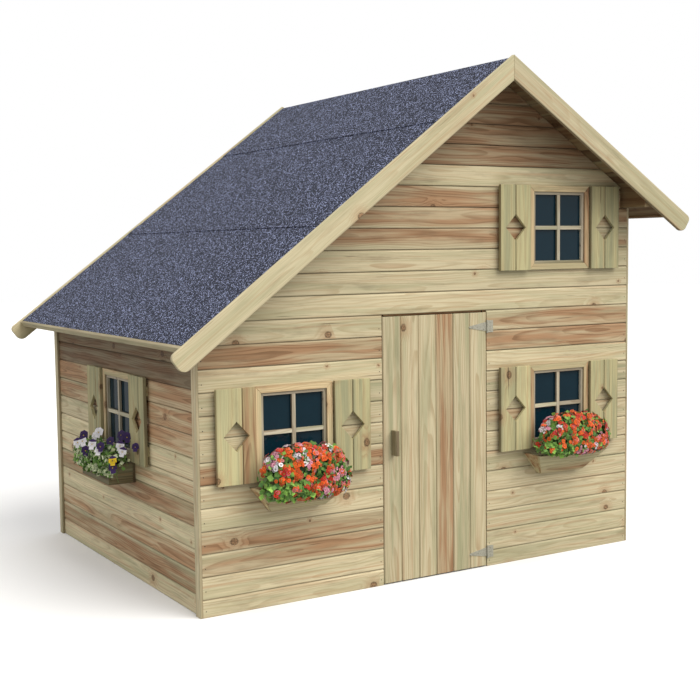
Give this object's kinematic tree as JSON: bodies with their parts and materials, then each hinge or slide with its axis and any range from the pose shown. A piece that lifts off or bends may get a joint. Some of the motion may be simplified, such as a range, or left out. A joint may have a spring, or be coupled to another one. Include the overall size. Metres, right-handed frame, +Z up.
{
  "type": "wooden playhouse",
  "caption": "Boarded wooden playhouse with an uneven felted gable roof, a hinged plank door, shuttered windows, flower boxes and a raised deck reached by a ladder.",
  "frame": {"origin": "on the ground, under the middle of the roof's outline", "axes": "+Z up, the door wall faces -Y, +X runs from the low side wall to the high side wall"},
  "size_m": [2.7814, 2.2, 2.3598],
  "materials": {
    "wall_boards": "planed softwood, natural, satin",
    "shutter_boards": "planed softwood, natural with a green cast",
    "door_boards": "planed softwood, natural, satin",
    "window_wood": "planed softwood, natural, satin",
    "trim_wood": "planed softwood, natural, satin",
    "box_wood": "planed softwood, natural with a green cast",
    "framing_wood": "sawn softwood, matte",
    "roofing_felt": "mineral-grained bitumen felt, matte",
    "galvanised_steel": "galvanised, dull",
    "pane": "clear acrylic sheet, glossy",
    "soil": "matte",
    "planting_front_left": "leaves and petals, matte",
    "planting_front_right": "leaves and petals, matte",
    "planting_side": "leaves and petals, matte"
  },
  "bodies": {
    "house": {"floor_joists": "framing_wood", "floor_boards": "framing_wood", "front_cladding": "wall_boards", "back_cladding": "wall_boards", "low_side_cladding": "wall_boards", "high_side_cladding": "wall_boards", "front_studs": "framing_wood", "back_studs": "framing_wood", "low_side_studs": "framing_wood", "high_side_studs": "framing_wood", "corner_strips": "trim_wood", "hinge_leaves": "galvanised_steel", "hinge_pins": "galvanised_steel", "hinge_leaf_screws": "galvanised_steel", "casing_front_left": "window_wood", "casing_front_right": "window_wood", "casing_front_upper": "window_wood", "casing_side": "window_wood", "sash_front_left": "window_wood", "sash_front_right": "window_wood", "sash_front_upper": "window_wood", "sash_side": "window_wood", "window_panes": "pane", "shutter_boards_front_left": "shutter_boards", "shutter_boards_front_right": "shutter_boards", "shutter_boards_front_upper": "shutter_boards", "shutter_boards_side": "shutter_boards", "shutter_battens": "shutter_boards", "rafters": "framing_wood", "ridge_board": "framing_wood", "high_wall_plate": "framing_wood", "roof_boards_long": "framing_wood", "roof_boards_short": "framing_wood", "felt_eave_long": "roofing_felt", "felt_middle_long": "roofing_felt", "felt_ridge": "roofing_felt", "felt_eave_short": "roofing_felt", "verge_boards_front": "trim_wood", "verge_boards_back": "trim_wood", "eave_trims": "trim_wood", "flower_box_front_left": "box_wood", "flower_box_front_right": "box_wood", "flower_box_side": "box_wood", "potting_soil": "soil", "flowers_front_left": "planting_front_left", "flowers_front_right": "planting_front_right", "flowers_side": "planting_side", "deck_joists": "framing_wood", "deck_boards": "framing_wood", "ladder_stiles": "framing_wood", "ladder_rungs": "framing_wood"},
    "door": {"door_boards": "door_boards", "door_ledges": "door_boards", "door_brace": "door_boards", "door_handle": "door_boards", "hinge_straps": "galvanised_steel", "hinge_strap_screws": "galvanised_steel"}
  },
  "joints": [
    {"name": "door_hinge", "type": "hinge", "parent": "house", "child": "door", "pos_m": [0.26172, -0.9215, 0.605], "axis": [0, 0, 1], "range_deg": [0, 110]}
  ]
}
